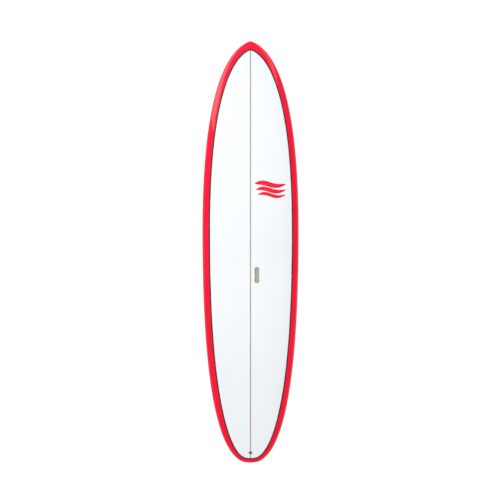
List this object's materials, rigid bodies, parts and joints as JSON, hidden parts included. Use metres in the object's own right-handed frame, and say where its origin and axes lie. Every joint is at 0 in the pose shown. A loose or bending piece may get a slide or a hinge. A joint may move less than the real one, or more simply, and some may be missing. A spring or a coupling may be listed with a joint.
{
  "type": "longboard surfboard",
  "caption": "Longboard surfboard: red glassed bottom and rails, pale deck with a wood stringer, black pinline, carry-handle cup, leash plug and two-slot fin plugs.",
  "frame": {"origin": "under the middle of the board, level with the lowest point of the bottom", "axes": "+Z out of the deck, +Y to the nose, +X to the right of a rider who looks to the nose"},
  "size_m": [0.6518, 2.743, 0.1855],
  "materials": {
    "red_gloss": "gloss",
    "clear_deck": "gloss",
    "black_line": "gloss",
    "foam": "matte",
    "stringer_wood": "satin",
    "ivory_plastic": "satin",
    "grey_plastic": "satin",
    "plug_plastic": "satin",
    "bar_steel": "satin",
    "screw_steel": "satin",
    "pad_rubber": "matte"
  },
  "bodies": {
    "board": {"bottom_laminate": "red_gloss", "deck_laminate": "clear_deck", "pinline": "black_line", "foam_left": "foam", "foam_right": "foam", "stringer": "stringer_wood", "handle_cup": "ivory_plastic", "leash_plug": "grey_plastic", "leash_bar": "bar_steel", "fin_plug_front_left": "plug_plastic", "barrel_pad_front_left": "pad_rubber", "fin_plug_front_right": "plug_plastic", "barrel_pad_front_right": "pad_rubber", "fin_plug_rear_left": "plug_plastic", "barrel_pad_rear_left": "pad_rubber", "fin_plug_rear_right": "plug_plastic", "barrel_pad_rear_right": "pad_rubber", "fin_plug_centre": "plug_plastic", "barrel_pad_centre": "pad_rubber"},
    "barrel_front_left": {"fin_barrel_front_left": "bar_steel"},
    "screw_front_left_front": {"fin_screw_front_left_front": "screw_steel"},
    "screw_front_left_rear": {"fin_screw_front_left_rear": "screw_steel"},
    "barrel_front_right": {"fin_barrel_front_right": "bar_steel"},
    "screw_front_right_front": {"fin_screw_front_right_front": "screw_steel"},
    "screw_front_right_rear": {"fin_screw_front_right_rear": "screw_steel"},
    "barrel_rear_left": {"fin_barrel_rear_left": "bar_steel"},
    "screw_rear_left_front": {"fin_screw_rear_left_front": "screw_steel"},
    "screw_rear_left_rear": {"fin_screw_rear_left_rear": "screw_steel"},
    "barrel_rear_right": {"fin_barrel_rear_right": "bar_steel"},
    "screw_rear_right_front": {"fin_screw_rear_right_front": "screw_steel"},
    "screw_rear_right_rear": {"fin_screw_rear_right_rear": "screw_steel"},
    "barrel_centre": {"fin_barrel_centre": "bar_steel"},
    "screw_centre_front": {"fin_screw_centre_front": "screw_steel"},
    "screw_centre_rear": {"fin_screw_centre_rear": "screw_steel"}
  },
  "joints": [
    {"name": "front_left_front_screw", "type": "slide", "parent": "board", "child": "screw_front_left_front", "axis": [-0.5075, 0.0811, 0.8578], "range_m": [0, 0.003]},
    {"name": "front_left_rear_screw", "type": "slide", "parent": "board", "child": "screw_front_left_rear", "axis": [0.6351, 0.0272, 0.7719], "range_m": [0, 0.003]},
    {"name": "front_left_barrel", "type": "slide", "parent": "board", "child": "barrel_front_left", "axis": [0.0418, 0.9967, -0.0695], "range_m": [0, 0.0015], "stiffness_N_per_m": 2000, "springref_m": -0.0005},
    {"name": "front_right_front_screw", "type": "slide", "parent": "board", "child": "screw_front_right_front", "axis": [0.5075, 0.0811, 0.8578], "range_m": [0, 0.003]},
    {"name": "front_right_rear_screw", "type": "slide", "parent": "board", "child": "screw_front_right_rear", "axis": [-0.6351, 0.0272, 0.7719], "range_m": [0, 0.003]},
    {"name": "front_right_barrel", "type": "slide", "parent": "board", "child": "barrel_front_right", "axis": [-0.0418, 0.9967, -0.0695], "range_m": [0, 0.0015], "stiffness_N_per_m": 2000, "springref_m": -0.0005},
    {"name": "rear_left_front_screw", "type": "slide", "parent": "board", "child": "screw_rear_left_front", "axis": [-0.567, 0.0938, 0.8184], "range_m": [0, 0.003]},
    {"name": "rear_left_rear_screw", "type": "slide", "parent": "board", "child": "screw_rear_left_rear", "axis": [0.5786, 0.0338, 0.8149], "range_m": [0, 0.003]},
    {"name": "rear_left_barrel", "type": "slide", "parent": "board", "child": "barrel_rear_left", "axis": [0.0519, 0.9956, -0.0782], "range_m": [0, 0.0015], "stiffness_N_per_m": 2000, "springref_m": -0.0005},
    {"name": "rear_right_front_screw", "type": "slide", "parent": "board", "child": "screw_rear_right_front", "axis": [0.567, 0.0938, 0.8184], "range_m": [0, 0.003]},
    {"name": "rear_right_rear_screw", "type": "slide", "parent": "board", "child": "screw_rear_right_rear", "axis": [-0.5786, 0.0338, 0.8149], "range_m": [0, 0.003]},
    {"name": "rear_right_barrel", "type": "slide", "parent": "board", "child": "barrel_rear_right", "axis": [-0.0519, 0.9956, -0.0782], "range_m": [0, 0.0015], "stiffness_N_per_m": 2000, "springref_m": -0.0005},
    {"name": "centre_front_screw", "type": "slide", "parent": "board", "child": "screw_centre_front", "axis": [0.5736, 0.0741, 0.8158], "range_m": [0, 0.003]},
    {"name": "centre_rear_screw", "type": "slide", "parent": "board", "child": "screw_centre_rear", "axis": [-0.5736, 0.0741, 0.8158], "range_m": [0, 0.003]},
    {"name": "centre_barrel", "type": "slide", "parent": "board", "child": "barrel_centre", "axis": [0, 0.9959, -0.0904], "range_m": [0, 0.0015], "stiffness_N_per_m": 2000, "springref_m": -0.0005}
  ]
}
